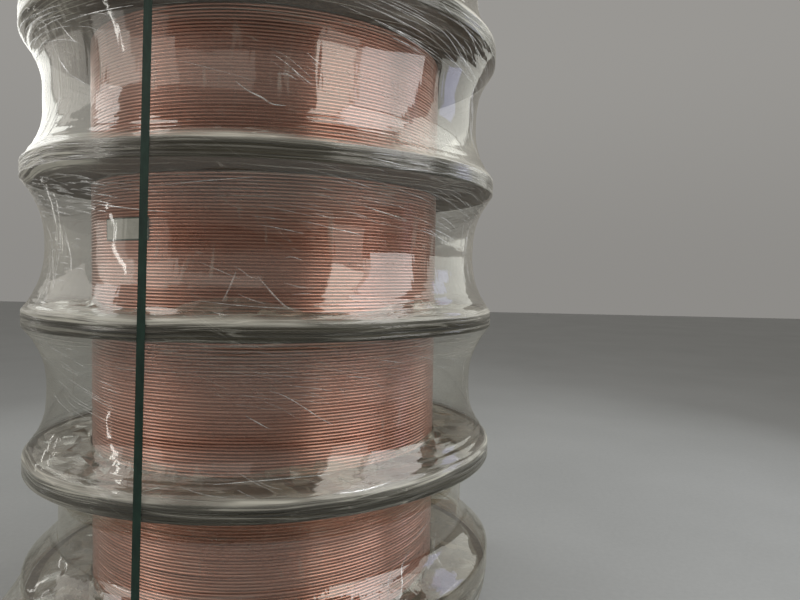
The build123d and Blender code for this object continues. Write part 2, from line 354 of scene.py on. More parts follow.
def film_material(name, haze_lo, haze_hi, crumple=0.0, tint=(0.935, 0.935, 0.905)):
    m = Mat(name)
    p = m.coord()
    x, y, z = m.xyz(p)
    mid = tier_height(m, z)
    near_rim = m.remap(mid, 0.16, 0.60, 1.0, 0.0, True)
    on_rim = m.remap(mid, 0.105, 0.125, 1.0, 0.0, True)
    # the web of film is stretched round the stack: pleats run that way, a little askew
    warp = m.noise(m.scale(p, (2.1, 2.1, 2.6)), 1.0, 2.0, 0.5)
    zz = m.math("ADD", z, m.math("MULTIPLY", m.math("SUBTRACT", warp, 0.5), 0.050))
    s1 = m.noise(m.vec(m.math("MULTIPLY", x, 2.4), m.math("MULTIPLY", y, 2.4), m.math("MULTIPLY", zz, 62.0)), 1.0, 1.0, 0.5)
    # slanted pulls that cross the hoop pleats
    zs = m.math("ADD", z, m.math("MULTIPLY", m.math("ADD", x, m.math("MULTIPLY", y, 0.5)), 0.45))
    s3 = m.noise(m.vec(m.math("MULTIPLY", x, 3.2), m.math("MULTIPLY", y, 3.2), m.math("MULTIPLY", zs, 60.0)), 1.0, 1.0, 0.5)
    near1 = m.math("ABSOLUTE", m.math("SUBTRACT", s1, 0.5))
    near3 = m.math("ABSOLUTE", m.math("SUBTRACT", s3, 0.52))
    crease1 = m.remap(near1, 0.0, 0.016, 1.0, 0.0, True)
    crease3 = m.remap(near3, 0.0, 0.007, 1.0, 0.0, True)
    patch = m.noise(m.scale(p, (5.0, 5.0, 9.0)), 1.0, 2.0, 0.6)
    some = m.remap(patch, 0.42, 0.62, 0.0, 1.0, True)
    # close parallel lines on the flanks, each broken along its length
    t = m.math("FRACT", m.math("DIVIDE", m.math("SUBTRACT", z, Z_LOAD), PITCH))
    flank = m.math("MULTIPLY", m.remap(t, 0.60, 0.80, 0.0, 1.0, True), m.remap(t, 0.925, 0.945, 1.0, 0.0, True))
    flank = m.math("ADD", flank, m.math("MULTIPLY", m.remap(t, 0.055, 0.22, 0.7, 0.0, True), m.remap(t, 0.050, 0.060, 0.0, 1.0, True)))
    parallel = None
    for pitch, bend, thick, on, short in ((0.0092, 5.0, 0.075, 0.50, 3.4), (0.0067, -7.0, 0.085, 0.55, 11.0)):
        u = m.math("ADD", m.math("DIVIDE", z, pitch), m.math("MULTIPLY", warp, bend))
        cut = m.noise(m.vec(m.math("MULTIPLY", x, short), m.math("MULTIPLY", y, short), m.math("MULTIPLY", m.math("FLOOR", u), 7.31)), 1.0, 2.0, 0.6)
        line = m.remap(m.math("ABSOLUTE", m.math("SUBTRACT", m.math("FRACT", u), 0.5)), 0.0, thick, 1.0, 0.0, True)
        line = m.math("MULTIPLY", line, m.remap(cut, on, on + 0.10, 0.0, 1.0, True))
        parallel = line if parallel is None else m.math("MAXIMUM", parallel, line)
    parallel = m.math("MULTIPLY", parallel, flank)
    lines = m.math("MULTIPLY", crease1, m.math("ADD", 0.03, m.math("MULTIPLY", near_rim, 0.40)))
    lines = m.math("ADD", lines, m.math("MULTIPLY", m.math("MULTIPLY", crease3, some), 0.35))
    lines = m.math("ADD", lines, m.math("MULTIPLY", parallel, 0.80))
    # narrow streaks that run down the waist, in places
    down = m.noise(m.vec(m.math("ADD", m.math("MULTIPLY", x, 72.0), m.math("MULTIPLY", warp, 5.0)), m.math("MULTIPLY", y, 72.0), m.math("MULTIPLY", z, 4.5)), 1.0, 1.0, 0.5)
    waist = m.math("MULTIPLY", m.remap(t, 0.08, 0.22, 0.0, 1.0, True), m.remap(t, 0.50, 0.85, 1.0, 0.0, True))
    waist = m.math("MULTIPLY", waist, m.remap(patch, 0.42, 0.60, 0.12, 1.0, True))
    lines = m.math("ADD", lines, m.math("MULTIPLY", m.math("MULTIPLY", m.remap(down, 0.60, 0.72, 0.0, 1.0, True), waist), 0.30))
    haze = m.math("ADD", haze_lo, m.math("MULTIPLY", lines, haze_hi))
    # on the rims the pleats lie on each other in long streaks; paler along the upper edge, a painted highlight where
    # the top edge takes the light, and darker on the lower half, a painted shade
    s4 = m.noise(m.vec(m.math("MULTIPLY", x, 3.0), m.math("MULTIPLY", y, 3.0), m.math("MULTIPLY", zz, 210.0)), 1.0, 2.0, 0.6)
    streak = m.remap(s4, 0.50, 0.62, 0.0, 1.0, True)
    clearing = m.noise(m.scale(p, (3.6, 3.6, 22.0)), 1.0, 1.0, 0.5)
    clouded = m.remap(clearing, 0.40, 0.56, 0.22, 1.0, True)
    seam = m.math("SUBTRACT", m.math("FRACT", m.math("DIVIDE", m.math("SUBTRACT", z, Z_LOAD - 0.5 * PITCH), PITCH)), 0.5)
    upper = m.remap(m.math("ABSOLUTE", m.math("SUBTRACT", m.math("MULTIPLY", seam, PITCH), 0.0185)), 0.003, 0.0125, 1.0, 0.0, True)
    low = m.math("MULTIPLY", m.remap(t, 0.055, 0.12, 1.0, 0.0, True), m.remap(t, 0.040, 0.058, 0.0, 1.0, True))
    haze = m.math("ADD", haze, m.math("MULTIPLY", low, m.remap(patch, 0.30, 0.68, 0.06, 0.50, True)))
    # painted shade: less milky and less glossy on the lower half of each rim
    rim_lower_shade = m.math("MULTIPLY", on_rim, m.remap(m.math("MULTIPLY", seam, PITCH), 0.004, 0.013, 1.0, 0.0, True))
    haze = m.math("ADD", haze, m.math("MULTIPLY", m.math("MULTIPLY", streak, on_rim), m.math("MULTIPLY", clouded, m.math("SUBTRACT", 0.24, m.math("MULTIPLY", rim_lower_shade, 0.10)))))
    # doubled film, cloudy, in three places that the view shows
    turn = m.math("ARCTAN2", x, m.math("MULTIPLY", y, -1.0))
    for az, wide, z0, z1, z2, z3, much in ((-0.66, 0.44, 1.16, 1.28, 1.40, 1.43, 0.42), (-0.62, 0.24, 0.83, 0.90, 0.96, 1.02, 0.16), (0.95, 0.42, 1.130, 1.145, 1.17, 1.26, 0.34)):
        there = m.remap(m.math("ABSOLUTE", m.math("SUBTRACT", turn, az)), 0.25 * wide, wide, 1.0, 0.0, True)
        there = m.math("MULTIPLY", there, m.remap(z, z0, z1, 0.0, 1.0, True))
        there = m.math("MULTIPLY", there, m.remap(z, z2, z3, 1.0, 0.0, True))
        there = m.math("MULTIPLY", there, m.math("ADD", 0.45, m.math("MULTIPLY", m.remap(down, 0.35, 0.70, 0.0, 1.0, True), 0.55)))
        haze = m.math("ADD", haze, m.math("MULTIPLY", there, much))
    # painted highlight: pale streaks laid on the upper rims' left ends, standing in for the light that falls there
    # from the left
    left = m.remap(m.math("ABSOLUTE", m.math("SUBTRACT", turn, -0.60)), 0.20, 0.46, 1.0, 0.0, True)
    left = m.math("MULTIPLY", m.math("MULTIPLY", left, m.remap(mid, 0.17, 0.27, 1.0, 0.0, True)), m.remap(z, 0.9, 1.05, 0.35, 1.0, True))
    haze = m.math("ADD", haze, m.math("MULTIPLY", left, m.remap(s4, 0.44, 0.58, 0.05, 0.72, True)))
    # painted highlight: paler along the rims' upper edge, over the pleat streaks
    haze = m.math("ADD", haze, m.math("MULTIPLY", m.math("MULTIPLY", upper, m.math("ADD", 0.45, streak)), m.math("MULTIPLY", clouded, 0.42)))
    height = m.math("MULTIPLY", s1, m.math("ADD", 0.10, m.math("MULTIPLY", near_rim, 2.0)))
    height = m.math("ADD", height, m.math("MULTIPLY", m.math("MULTIPLY", s4, on_rim), 0.50))
    height = m.math("ADD", height, m.math("MULTIPLY", m.math("MULTIPLY", down, waist), 0.35))
    if crumple:
        v1 = m.voronoi(m.scale(p, (38.0, 38.0, 60.0)), 1.0, "DISTANCE_TO_EDGE")
        v2 = m.noise(m.scale(p, (55.0, 55.0, 90.0)), 1.0, 3.0, 0.55)
        fold = m.remap(v1, 0.0, 0.06, 1.0, 0.0, True)
        haze = m.math("ADD", haze, m.math("MULTIPLY", fold, crumple * 0.20))
        height = m.math("ADD", height, m.math("MULTIPLY", v2, 2.0 * crumple))
        height = m.math("ADD", height, m.math("MULTIPLY", v1, 1.6 * crumple))
    haze = m.math("MINIMUM", haze, 0.85)
    nrm = m.bump(height, 0.6, 0.0030)
    lw = m.node("ShaderNodeLayerWeight")
    lw.inputs["Blend"].default_value = 0.5
    m.link(nrm, lw.inputs["Normal"])
    f = m.math("POWER", lw.outputs["Facing"], 4.0)
    # painted shade: the rims' lower half reflects less, except at the left ends
    refl = m.math("ADD", m.math("SUBTRACT", 0.13, m.math("MULTIPLY", m.math("MULTIPLY", rim_lower_shade, m.math("SUBTRACT", 1.0, left)), 0.06)), m.math("MULTIPLY", f, 0.70))
    clear = m.node("ShaderNodeBsdfTransparent")
    clear.inputs["Color"].default_value = (*tint, 1)
    gloss = m.node("ShaderNodeBsdfGlossy")
    gloss.inputs["Color"].default_value = (0.97, 0.95, 0.89, 1)
    m.put(gloss.inputs["Roughness"], m.math("ADD", 0.055, m.math("MULTIPLY", on_rim, 0.12)))
    m.link(nrm, gloss.inputs["Normal"])
    body = m.mix_shader(refl, clear.outputs[0], gloss.outputs[0])
    milk = m.principled((0.80, 0.775, 0.665), 0.30, 0.0, nrm, 0.5)
    return m.done(m.mix_shader(haze, body, milk))


def fold_material(name, cover, rough, shine=0.35):
    """A narrow doubled pleat: whiter than the single film, still clear in part."""
    m = Mat(name)
    p = m.coord()
    n = m.noise(m.scale(p, (70.0, 70.0, 90.0)), 1.0, 2.0, 0.6)
    clear = m.node("ShaderNodeBsdfTransparent")
    nrm = m.bump(n, 0.4, 0.002)
    milk = m.principled((0.90, 0.89, 0.84), rough, 0.0, nrm, 0.9)
    gloss = m.node("ShaderNodeBsdfGlossy")
    gloss.inputs["Color"].default_value = (0.96, 0.96, 0.94, 1)
    gloss.inputs["Roughness"].default_value = 0.18
    m.link(nrm, gloss.inputs["Normal"])
    body = m.mix_shader(shine, milk, gloss.outputs[0])
    return m.done(m.mix_shader(m.math("MULTIPLY", cover, m.remap(n, 0.30, 0.62, 0.35, 1.25)), clear.outputs[0], body))


def foot_material():
    """Loose crumpled film lying on the boards round each coil's foot, in small flat folds."""
    m = Mat("film_foot")
    p = m.coord()
    warp = m.noise(m.scale(p, (14.0, 14.0, 14.0)), 1.0, 2.0, 0.5)
    q = m.vadd(m.scale(p, (26.0, 26.0, 30.0)), m.vec(m.math("MULTIPLY", warp, 2.2), m.math("MULTIPLY", warp, -1.6), 0.0))
    v = m.voronoi(q, 1.0, "DISTANCE_TO_EDGE")
    cell = m.xyz(m.voronoi(q, 1.0, "F1", "Color"))[0]
    crease = m.remap(v, 0.0, 0.030, 1.0, 0.0, True)
    haze = m.math("ADD", 0.07, m.math("MULTIPLY", crease, 0.10))
    haze = m.math("ADD", haze, m.remap(cell, 0.35, 1.0, 0.0, 0.26, True))
    nrm = m.bump(warp, 0.35, 0.004)
    lw = m.node("ShaderNodeLayerWeight")
    lw.inputs["Blend"].default_value = 0.5
    m.link(nrm, lw.inputs["Normal"])
    f = m.math("POWER", lw.outputs["Facing"], 4.0)
    refl = m.math("ADD", 0.12, m.math("MULTIPLY", f, 0.70))
    clear = m.node("ShaderNodeBsdfTransparent")
    clear.inputs["Color"].default_value = (0.93, 0.925, 0.89, 1)
    gloss = m.node("ShaderNodeBsdfGlossy")
    gloss.inputs["Color"].default_value = (0.95, 0.95, 0.92, 1)
    gloss.inputs["Roughness"].default_value = 0.10
    m.link(nrm, gloss.inputs["Normal"])
    body = m.mix_shader(refl, clear.outputs[0], gloss.outputs[0])
    milk = m.principled((0.70, 0.64, 0.50), 0.32, 0.0, nrm, 0.5)
    return m.done(m.mix_shader(haze, body, milk))


def strap_material():
    m = Mat("strap")
    p = m.coord()
    x, y, z = m.xyz(p)
    d = m.math("ADD", y, z)
    a = m.math("SINE", m.math("MULTIPLY", m.math("ADD", x, d), 1900.0))
    b = m.math("SINE", m.math("MULTIPLY", m.math("SUBTRACT", x, d), 1900.0))
    waffle = m.math("MULTIPLY", a, b)
    wear = m.noise(m.scale(p, (90.0, 30.0, 30.0)), 1.0, 4.0, 0.6)
    scratch = m.noise(m.vec(m.math("MULTIPLY", x, 900.0), m.math("MULTIPLY", y, 8.0), m.math("MULTIPLY", z, 8.0)), 1.0, 3.0, 0.6)
    col = m.ramp(wear, [(0.30, (0.006, 0.026, 0.017)), (0.55, (0.011, 0.043, 0.027)), (0.80, (0.022, 0.066, 0.043))])
    col = m.mix(m.remap(scratch, 0.62, 0.80, 0.0, 0.5), col, (0.05, 0.11, 0.08))
    nrm = m.bump(m.math("ADD", m.math("MULTIPLY", waffle, 0.5), scratch), 0.35, 0.0004)
    return m.done(m.principled(col, m.math("ADD", 0.30, m.math("MULTIPLY", wear, 0.20)), 0.0, nrm, 0.5))


def label_material():
    m = Mat("label")
    p = m.coord()
    x, y, z = m.xyz(p)
    ang = m.math("MULTIPLY", m.math("ARCTAN2", x, m.math("MULTIPLY", y, -1.0)), COIL_R)
    a0, a1 = math.radians(-35.6) * COIL_R, math.radians(-16.6) * COIL_R
    z0, z1 = 0.957, 1.005
    ex = m.math("MINIMUM", m.math("SUBTRACT", ang, a0), m.math("SUBTRACT", a1, ang))
    ez = m.math("MINIMUM", m.math("SUBTRACT", z, z0), m.math("SUBTRACT", z1, z))
    e = m.math("MINIMUM", ex, ez)
    border = m.remap(e, 0.0022, 0.0036, 1.0, 0.0, True)
    dirt = m.noise(m.scale(p, (60.0, 60.0, 60.0)), 1.0, 4.0, 0.6)
    fibre = m.noise(m.scale(p, (1500.0, 1500.0, 1500.0)), 1.0, 2.0, 0.5)
    paper = m.ramp(dirt, [(0.3, (0.60, 0.62, 0.56)), (0.6, (0.70, 0.72, 0.66)), (0.85, (0.78, 0.80, 0.73))])
    col = m.mix(border, paper, (0.025, 0.070, 0.042))
    nrm = m.bump(m.math("ADD", fibre, dirt), 0.2, 0.0004)
    return m.done(m.principled(col, 0.45, 0.0, nrm, 0.4))


def floor_material():
    m = Mat("floor")
    p = m.coord()
    n = m.noise(m.scale(p, (1.3, 1.3, 1.3)), 1.0, 5.0, 0.55)
    fine = m.noise(m.scale(p, (60.0, 60.0, 60.0)), 1.0, 3.0, 0.6)
    col = m.ramp(m.math("ADD", m.math("MULTIPLY", n, 0.6), m.math("MULTIPLY", fine, 0.4)), [(0.3, (0.48, 0.49, 0.48)), (0.7, (0.56, 0.57, 0.56))])
    return m.done(m.principled(col, 0.55, 0.0, m.bump(fine, 0.1, 0.001), 0.3))


COPPER = copper_material()
BOARD = board_material()
DECK = wood_material("pallet_deck", "x", (0.56, 0.42, 0.26), (0.27, 0.17, 0.09))
STRINGER = wood_material("pallet_rail", "y", (0.53, 0.40, 0.25), (0.25, 0.16, 0.085))
BLOCK = wood_material("pallet_block", "y", (0.50, 0.36, 0.21), (0.22, 0.14, 0.075))
FILM = film_material("stretch_film", 0.012, 0.55)
FILM_LOOSE = film_material("stretch_film_loose", 0.03, 0.45, crumple=1.0)
FOLD = fold_material("film_pleat", 0.72, 0.20, 0.55)
FOLD_FAINT = fold_material("film_pleat_faint", 0.36, 0.25)
FOOT = foot_material()
STRAP = strap_material()
LABEL = label_material()


def dress(ob, mat):
    ob.data.materials.clear()
    ob.data.materials.append(mat)


def piece(ob, mat, slot_name, *nodes):
    dress(ob, mat)
    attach(ob, "root")
    if nodes:
        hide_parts(*nodes)
    return ob


# ------------------------------------------------------------------ coils
def coil_mesh(n):
    cols = 128
    phi = np.linspace(0, 2 * math.pi, cols, endpoint=False)[None, :]
    rad = TUBE / 2
    z0 = Z_LOAD + (n - 1) * PITCH + BOARD_T
    rng = np.random.default_rng(500 + n)
    rows_r, rows_z, jr, jz = [], [], [], []

    def row(r, z, dr=None, dz=None):
        rows_r.append(r)
        rows_z.append(z)
        jr.append(np.zeros(cols) if dr is None else dr)
        jz.append(np.zeros(cols) if dz is None else dz)

    lp = (COIL_R - COIL_IN) / LAYERS
    # bottom end, from the bore outwards; every other layer ends half a turn short
    ends = [0.0 if i % 2 == 1 else rad for i in range(LAYERS)]
    for i in range(LAYERS):
        rc = COIL_IN + lp * (i + 0.5)
        row(rc - lp * 0.42, ends[i] + rad * 0.62)
        row(rc, ends[i] + 0.0001)
    # outside, upwards
    for k in range(TURNS):
        zc = TUBE * (k + 0.5)
        dr = 0.00018 * ring_noise(phi[0], int(rng.integers(1 << 30)), 1, 9) + float(rng.normal()) * 0.00012
        dz = 0.00014 * ring_noise(phi[0], int(rng.integers(1 << 30)), 1, 7)
        if k in (0, TURNS - 1):
            dz = np.abs(dz) * (1 if k == 0 else -1)
        for t in (-72, -36, 0, 36, 72):
            a = math.radians(t)
            row(COIL_R - rad + rad * math.cos(a) - 0.0003, zc + rad * math.sin(a), np.minimum(dr, 0.0003), dz)
    for i in reversed(range(LAYERS)):
        rc = COIL_IN + lp * (i + 0.5)
        row(rc, COIL_H - ends[i] - 0.0001)
        row(rc - lp * 0.42, COIL_H - ends[i] - rad * 0.62)
    # bore, downwards
    for k in reversed(range(TURNS - 1)):
        zc = TUBE * (k + 1.0)
        row(COIL_IN + 0.0001, zc + rad * 0.35)
        row(COIL_IN + 0.0024, zc - rad * 0.95)
    r = np.array(rows_r)[:, None] + np.array(jr)
    z = np.array(rows_z)[:, None] + np.array(jz) + z0
    pts = around(np.broadcast_to(phi, r.shape), r, z)
    return grid(f"coil_winding_{n}", pts, wrap_rows=True)


for n in range(1, TIERS + 1):
    piece(coil_mesh(n), COPPER, "copper_tube", f"coil_{n}")


# ------------------------------------------------------------------ boards
def board_mesh(name, z0, seed):
    cols = 144
    phi = np.linspace(0, 2 * math.pi, cols, endpoint=False)
    R, T, e = BOARD_R, BOARD_T, 0.0012
    chip = 0.0005 * np.abs(ring_noise(phi, seed, 20, 60))
    rows = []
    prof = [
        (0.0, 0.0), (0.15, 0.0), (0.35, 0.0), (0.50, 0.0), (0.565, 0.0), (R - e * 1.6, 0.0),
        (R - e * 0.5, e * 0.35), (R - 0.0001, e), (R, T * 0.32), (R - 0.0003, T * 0.5), (R, T * 0.68),
        (R - 0.0001, T - e), (R - e * 0.5, T - e * 0.35), (R - e * 1.6, T), (0.565, T), (0.50, T), (0.35, T), (0.15, T), (0.0, T),
    ]
    for i, (r, z) in enumerate(prof):
        rr = np.full(cols, r) - (chip if r > 0.57 else 0)
        if r == 0.0:
            rr = np.full(cols, 0.0005)
        rows.append(around(phi, rr, np.full(cols, z0 + z)))
    ob = grid(name, np.array(rows))
    return ob


for n in range(1, TIERS + 1):
    z0 = Z_LOAD + (n - 1) * PITCH
    piece(board_mesh(f"round_board_low_{n}", z0 + 0.00005, 40 + n), BOARD, "round_board", f"bottom_board_{n}")
    piece(board_mesh(f"round_board_high_{n}", z0 + BOARD_T + COIL_H - 0.00005, 60 + n), BOARD, "round_board", f"top_board_{n}")

# ------------------------------------------------------------------ pallet, strap, label: the CAD solids with their own finish
dress(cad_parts["deck_boards"], DECK)
dress(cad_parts["stringer_boards"], STRINGER)
dress(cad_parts["pallet_blocks"], BLOCK)
dress(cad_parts["bottom_runners"], STRINGER)
dress(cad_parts["strap"], STRAP)
# the film's folds break up its mirror image, so the strap isn't mirrored as one clean line
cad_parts["strap"].visible_glossy = False
dress(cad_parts["label"], LABEL)


# ------------------------------------------------------------------ film
def strap_pull(phi, z):
    """1 beside the strap's line on the front and back, 0 away from it."""
    x = STRAP_X0 + (STRAP_X1 - STRAP_X0) * (z - 0.102) / (Z_TOP - 0.102)
    a = np.arcsin(x / BOARD_R)
    d1 = np.abs((phi - a + math.pi) % (2 * math.pi) - math.pi)
    d2 = np.abs((phi - (math.pi - a) + math.pi) % (2 * math.pi) - math.pi)
    return np.exp(-(np.minimum(d1, d2) / 0.05) ** 2)


def film_tier(n, cols=300, rows=66):
    phi = np.linspace(0, 2 * math.pi, cols, endpoint=False)[None, :]
    zb = Z_LOAD + (n - 1) * PITCH + BOARD_T
    zt = zb + COIL_H
    # more rows where the film leaves a rim
    t = np.linspace(0, 1, rows)
    t = 0.5 - 0.5 * np.cos(np.pi * t)
    t = 0.55 * t + 0.45 * np.linspace(0, 1, rows)
    z = (zb + (zt - zb) * t)[:, None]
    s = np.abs(2 * t - 1)[:, None]
    depth = 0.048 + 0.0035 * ring_noise(phi, 100 + n, 1, 5)
    r = FILM_R - depth * (1 - s ** 2.5)
    if n == 1:
        low = np.array([[0.139, 0.5853], [0.190, 0.5853], [0.202, 0.580], [0.217, 0.566], [0.235, 0.546], [0.250, 0.526],
                        [0.266, 0.514], [0.300, 0.511], [0.350, 0.512], [0.370, 0.517], [0.390, 0.530], [0.410, 0.551], [0.425, 0.573], [0.433, 0.5853]])
        r = np.interp(z[:, 0], low[:, 0], low[:, 1])[:, None] + 0.004 * ring_noise(phi, 77, 2, 8) * (1 - s ** 4)
        r = r + 0.0035 * smooth01((0.215 - z) / 0.02) * smooth01((z - 0.14) / 0.02)
    # folds: hoop-wise, stronger by the rims; broad flats between them
    edge = s ** 3 * (1 - s ** 12)
    fold = waves(phi, z, 200 + n, 22, 7, 0.010, 0.034)
    fold = np.sign(fold) * np.abs(fold) ** 0.8
    env = 0.45 + 0.55 * smooth01(0.5 + 0.6 * ring_noise(phi, 300 + n, 2, 9))
    r = r + 0.0016 * fold * edge * env
    broad = waves(phi, z, 400 + n, 14, 9, 0.09, 0.30)
    r = r + 0.0006 * broad * (1 - s ** 6)
    pull = waves(phi, z, 700 + n, 12, 16, 0.05, 0.12)
    r = r + 0.00025 * pull * (1 - s ** 8)
    r = r - strap_pull(phi, z) * np.maximum(r - 0.5838, 0.0)
    r = np.minimum(r, 0.5895)
    return around(np.broadcast_to(phi, r.shape), r, np.broadcast_to(z, r.shape))


def rim_band(z0, z1, cols, seed, rows=10):
    phi = np.linspace(0, 2 * math.pi, cols, endpoint=False)[None, :]
    z = np.linspace(z0, z1, rows)[:, None]
    r = FILM_R + 0.00035 + 0.00030 * waves(phi, z, seed, 12, 5, 0.005, 0.014)
    r = np.clip(r, 0.5851, 0.5862)
    r = r - strap_pull(phi, z) * np.maximum(r - 0.58515, 0.0)
    return around(np.broadcast_to(phi, r.shape), r, np.broadcast_to(z, r.shape))


TIER_SHAPE = {}
for n in range(1, TIERS + 1):
    body = film_tier(n)
    seat = np.hypot(body[..., 0], body[..., 1])
    span = max(3, seat.shape[1] // 40)
    seat = sum(np.roll(seat, k, axis=1) for k in range(-span, span + 1)) / (2 * span + 1)
    TIER_SHAPE[n] = (body[:, 0, 2].copy(), seat)
    cols = body.shape[1]
    parts = []
    if n > 1:
        zr = Z_LOAD + (n - 1) * PITCH
        parts.append(rim_band(zr, zr + BOARD_T, cols, 800 + n)[:-1])
    parts.append(body)
    if n < TIERS:
        zr = Z_LOAD + n * PITCH
        parts.append(rim_band(zr - BOARD_T, zr, cols, 801 + n)[1:])
    else:
        # over the rim of the top board and in across it
        phi = np.linspace(0, 2 * math.pi, cols, endpoint=False)[None, :]
        parts.append(rim_band(Z_TOP - BOARD_T, Z_TOP - 0.001, cols, 890)[1:])
        lap = np.linspace(0, 1, 16)[:, None]
        width = 0.070 + 0.010 * ring_noise(phi, 911, 2, 12)
        rr = 0.5856 - lap * width
        zz = Z_TOP + 0.0004 + 0.0007 * (1 + waves(phi * 1.0, rr, 912, 10, 40, 0.02, 0.06)) * smooth01(lap * 4)
        zz = zz + 0.0012 * np.abs(ring_noise(phi, 913, 30, 70)) * lap
        zz = zz - strap_pull(phi, Z_TOP + 0 * rr) * np.maximum(zz - Z_TOP - 0.0009, 0)
        parts.append(around(np.broadcast_to(phi, rr.shape), rr, zz))
    pts = np.concatenate(parts, axis=0)
    piece(grid(f"film_tier_{n}", pts), FILM, "stretch_film", "stretch_film")


# film pulled out over the deck's corners and down past its edges
def hull_radius(phi, half=PALLET + 0.0012, r0=0.5856):
    """Plan outline: the rim circle with tangents out to the deck's corners."""
    reach = half * math.sqrt(2)
    a = math.acos(r0 / reach)
    d = np.abs((phi - math.pi / 4) % (math.pi / 2))
    d = np.minimum(d, math.pi / 2 - d)          # angle from the nearest corner
    line = r0 / np.cos(np.clip(a - d, 0, None))
    return np.where(d < a, line, r0)


def skirt():
    # more columns near each corner
    q = []
    for k in range(4):
        c = math.pi / 4 + k * math.pi / 2
        u = np.linspace(-1, 1, 96, endpoint=False)
        q.append(c + (math.pi / 4) * (0.35 * u + 0.65 * u ** 3))
    phi = np.concatenate(q)[None, :]
    t = np.linspace(0, 1, 46)[:, None]
    z_hi = 0.196
    hull = hull_radius(phi)
    over = hull - 0.5856
    corner = smooth01(over / 0.1216)
    # the ridge drops from the low tier's flare out to the deck's corner
    z = z_hi + (0.070 - z_hi) * t
    z_leave = 0.185
    k = smooth01((z_leave - z) / (z_leave - 0.1205))
    lin = np.clip((z_leave - z) / (z_leave - 0.1205), 0, 1)
    r = 0.5856 + over * (0.35 * k + 0.65 * lin)
    # creases fan from each corner up to the rim
    fan = waves(phi * 1.0, z, 1201, 16, 46, 0.05, 0.16)
    r = r + 0.0026 * fan * (0.25 + corner) * smooth01((z_hi - z) / 0.03)
    hoop = waves(phi, z, 1202, 16, 6, 0.008, 0.022)
    r = r + 0.0010 * hoop * smooth01((z_hi - z) / 0.02)
    bunch = waves(phi, z, 1203, 14, 90, 0.03, 0.09)
    r = r + 0.0030 * bunch * corner * smooth01((0.135 - z) / 0.03)
    # between the corners the free edge draws in under the lowest board
    tuck = smooth01((0.118 - z) / 0.05) * (1 - corner) * 0.016
    r = r - tuck
    keep = np.where(z > 0.119, 0.5854, 0.0)
    r = np.maximum(r, keep)
    # clear of the deck
    c, s = np.abs(np.sin(phi)), np.abs(np.cos(phi))
    square = (PALLET + 0.0008) / np.maximum(c, s)
    r = np.where(z < 0.1215, np.maximum(r, square), r)
    sp = strap_pull(phi, z)
    r = r - sp * np.maximum(r - 0.5830, 0.0) * smooth01((z - 0.10) / 0.02)
    r = r - sp * 0.060 * smooth01((0.117 - z) / 0.03)
    r = np.where(z < 0.1215, np.maximum(r, square), r)
    edge = 0.004 * ring_noise(phi, 1204, 8, 40) * smooth01((0.10 - z) / 0.03)
    pts = around(np.broadcast_to(phi, r.shape), r, z + edge)
    return grid("film_skirt", pts)


piece(skirt(), FILM_LOOSE, "stretch_film", "stretch_film")


